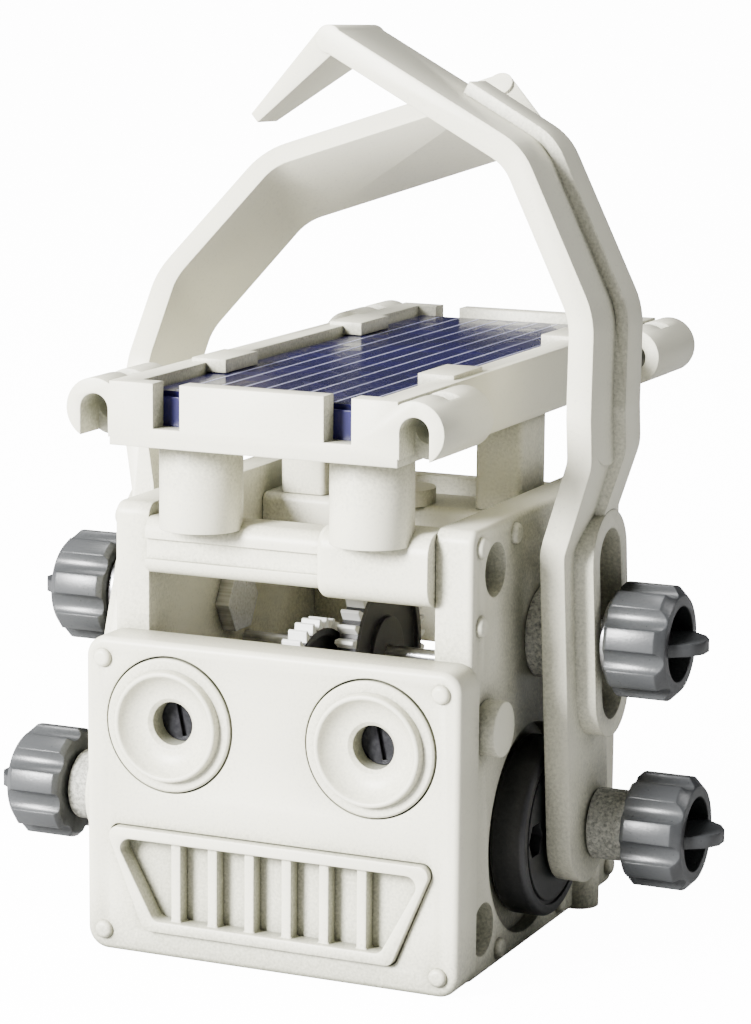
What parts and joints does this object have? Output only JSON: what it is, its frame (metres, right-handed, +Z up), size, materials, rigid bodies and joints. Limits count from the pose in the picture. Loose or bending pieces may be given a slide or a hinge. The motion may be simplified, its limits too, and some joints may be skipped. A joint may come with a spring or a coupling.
{
  "type": "solar robot kit",
  "caption": "Boxy toy robot with a face plate, a solar cell tray on posts, a geared crank drive and two slotted swinging arms with claws.",
  "frame": {"origin": "middle of the body's underside, on the ground", "axes": "+Z up, the face looks along -Y, +X is to the right of a viewer who faces the robot"},
  "size_m": [0.091, 0.0846, 0.1094],
  "materials": {
    "cream_plastic": "matte moulded plastic",
    "grey_plastic": "satin moulded plastic",
    "dark_plastic": "satin moulded plastic",
    "gear_plastic": "moulded gear plastic with a dark printed web",
    "black_steel": "blackened screw",
    "navy_board": "cast resin block",
    "solar_glass": "clear resin over a ribbed cell",
    "steel": "bright drawn steel",
    "brass": "machined",
    "white_plastic": "moulded"
  },
  "bodies": {
    "root": {"axle_bushes": "cream_plastic", "base_plate": "cream_plastic", "beam_cover": "cream_plastic", "cell_board": "navy_board", "cross_beam": "cream_plastic", "face_pegs": "cream_plastic", "face_plate": "cream_plastic", "face_rivets": "cream_plastic", "front_posts": "cream_plastic", "gear_shafts": "steel", "left_eye_cup": "cream_plastic", "left_pivot_boss": "cream_plastic", "left_pivot_pin": "steel", "left_side_frame": "cream_plastic", "motor_bracket": "cream_plastic", "motor_can": "steel", "motor_end_cap": "white_plastic", "motor_terminals": "brass", "mouth_grille": "cream_plastic", "pupil_caps": "black_steel", "rear_cross_bar": "cream_plastic", "rear_plate": "cream_plastic", "rear_posts": "cream_plastic", "rear_screws": "cream_plastic", "right_eye_cup": "cream_plastic", "right_pivot_boss": "cream_plastic", "right_pivot_pin": "steel", "right_side_frame": "cream_plastic", "side_rivets": "cream_plastic", "slot_washers": "steel", "solar_cell": "solar_glass", "solar_tray": "cream_plastic"},
    "crank": {"drive_axle": "steel", "output_gear": "gear_plastic", "left_crank_disc": "dark_plastic", "right_crank_disc": "dark_plastic", "left_crank_pin": "steel", "right_crank_pin": "steel", "left_spacer": "cream_plastic", "right_spacer": "cream_plastic"},
    "front_gear": {"front_compound_gear": "gear_plastic"},
    "rear_gear": {"rear_compound_gear": "gear_plastic"},
    "motor_rotor": {"motor_shaft": "steel", "motor_pinion": "brass"},
    "right_arm": {"right_arm": "cream_plastic"},
    "left_arm": {"left_arm": "cream_plastic"},
    "right_upper_knob": {"right_upper_knob": "grey_plastic"},
    "left_upper_knob": {"left_upper_knob": "grey_plastic"},
    "right_lower_knob": {"right_lower_knob": "grey_plastic"},
    "left_lower_knob": {"left_lower_knob": "grey_plastic"}
  },
  "joints": [
    {"name": "crank_turn", "type": "hinge", "parent": "root", "child": "crank", "pos_m": [0, -0.003, 0.0145], "axis": [1, 0, 0], "range_deg": [0, 180]},
    {"name": "front_gear_turn", "type": "hinge", "parent": "root", "child": "front_gear", "pos_m": [0, -0.0084, 0.0272], "axis": [1, 0, 0], "range_deg": [-650, 5]},
    {"name": "rear_gear_turn", "type": "hinge", "parent": "root", "child": "rear_gear", "pos_m": [0, 0.0045, 0.0321], "axis": [1, 0, 0], "range_deg": [-5, 2340]},
    {"name": "motor_turn", "type": "hinge", "parent": "root", "child": "motor_rotor", "pos_m": [0, 0.0155, 0.02377], "axis": [1, 0, 0], "range_deg": [-8410, 5]},
    {"name": "right_arm_swing", "type": "hinge", "parent": "crank", "child": "right_arm", "pos_m": [0, 0.0025, 0.0145], "axis": [1, 0, 0], "range_deg": [-212, 2]},
    {"name": "left_arm_swing", "type": "hinge", "parent": "crank", "child": "left_arm", "pos_m": [0, -0.0085, 0.0145], "axis": [1, 0, 0], "range_deg": [-155, 2]},
    {"name": "right_upper_knob_turn", "type": "hinge", "parent": "root", "child": "right_upper_knob", "pos_m": [0, 0, 0.038], "axis": [1, 0, 0], "continuous": true},
    {"name": "left_upper_knob_turn", "type": "hinge", "parent": "root", "child": "left_upper_knob", "pos_m": [0, 0, 0.038], "axis": [1, 0, 0], "continuous": true},
    {"name": "right_lower_knob_turn", "type": "hinge", "parent": "crank", "child": "right_lower_knob", "pos_m": [0, 0.0025, 0.0145], "axis": [1, 0, 0], "continuous": true},
    {"name": "left_lower_knob_turn", "type": "hinge", "parent": "crank", "child": "left_lower_knob", "pos_m": [0, -0.0085, 0.0145], "axis": [1, 0, 0], "continuous": true}
  ],
  "couplings": [
    {"joint": "front_gear_turn", "follows": "crank_turn", "ratio": -3.6},
    {"joint": "rear_gear_turn", "follows": "crank_turn", "ratio": 12.96},
    {"joint": "motor_turn", "follows": "crank_turn", "ratio": -46.656},
    {"joint": "right_arm_swing", "follows": "crank_turn", "ratio": -1.1617},
    {"joint": "left_arm_swing", "follows": "crank_turn", "ratio": -0.8483}
  ]
}
